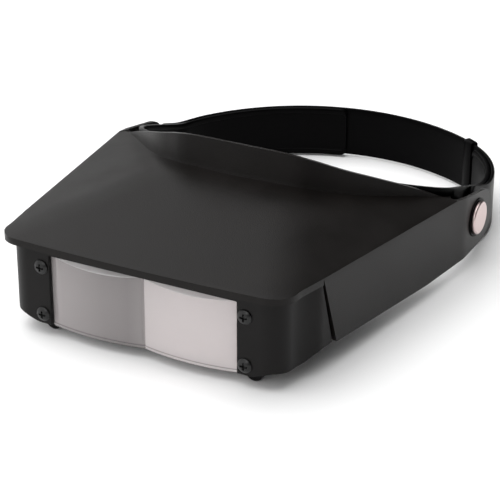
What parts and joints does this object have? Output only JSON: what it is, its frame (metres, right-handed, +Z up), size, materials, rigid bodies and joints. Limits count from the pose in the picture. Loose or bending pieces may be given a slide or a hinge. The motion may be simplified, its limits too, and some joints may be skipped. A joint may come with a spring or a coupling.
{
  "type": "head visor magnifier",
  "caption": "Hard hood with a fixed magnifying lens plate and a second flip-down one, hinged at the temples to an adjustable plastic headband with a forehead pad",
  "frame": {"origin": "Middle of the object's plan, on the surface it lies on", "axes": "+X towards the right-hand side seen from the front, +Y from the lens frame towards the back of the head, +Z up"},
  "size_m": [0.1896, 0.2578, 0.0699],
  "materials": {
    "hood_plastic": "moulded ABS with a fine spark-eroded texture, charcoal black",
    "frame_plastic": "moulded ABS, fine texture, black",
    "band_plastic": "flexible polypropylene strip, satin black",
    "black_screw": "black oxide steel, satin",
    "cap_metal": "polished nickel-plated cap",
    "clear_lens": "clear polished acrylic",
    "pad_foam": "closed-cell foam with a knitted cover, black"
  },
  "bodies": {
    "headband": {"front_band": "band_plastic", "brow_pad": "pad_foam", "strap_stud_left": "band_plastic", "strap_stud_right": "band_plastic", "pivot_post_left": "black_screw", "pivot_post_right": "black_screw", "pivot_spacer_left": "band_plastic", "pivot_spacer_right": "band_plastic", "pivot_cap_left": "cap_metal", "pivot_cap_right": "cap_metal"},
    "visor": {"visor_hood": "hood_plastic", "front_frame": "frame_plastic", "frame_bosses": "hood_plastic", "frame_screws": "black_screw", "front_lens_plate": "clear_lens", "lens_clamp_left": "frame_plastic", "lens_clamp_right": "frame_plastic", "lens_screws": "black_screw", "flip_bracket_left": "frame_plastic", "flip_bracket_right": "frame_plastic", "pivot_bush_left": "band_plastic", "pivot_bush_right": "band_plastic"},
    "flip_lens": {"flip_lens_plate": "clear_lens", "flip_arm_left": "frame_plastic", "flip_arm_right": "frame_plastic", "flip_lens_screws": "black_screw", "flip_pins": "black_screw"},
    "rear_strap": {"rear_strap": "band_plastic", "strap_keeper": "band_plastic"}
  },
  "joints": [
    {"name": "visor_tilt", "type": "hinge", "parent": "headband", "child": "visor", "pos_m": [0, 0.0336, 0.025], "axis": [-1, 0, 0], "range_deg": [-6, 75]},
    {"name": "lens_flip", "type": "hinge", "parent": "visor", "child": "flip_lens", "pos_m": [0, -0.1129, 0.0415], "axis": [1, 0, 0], "range_deg": [0, 85]},
    {"name": "strap_adjust", "type": "slide", "parent": "headband", "child": "rear_strap", "axis": [0, 1, 0], "range_m": [0, 0.01]}
  ]
}
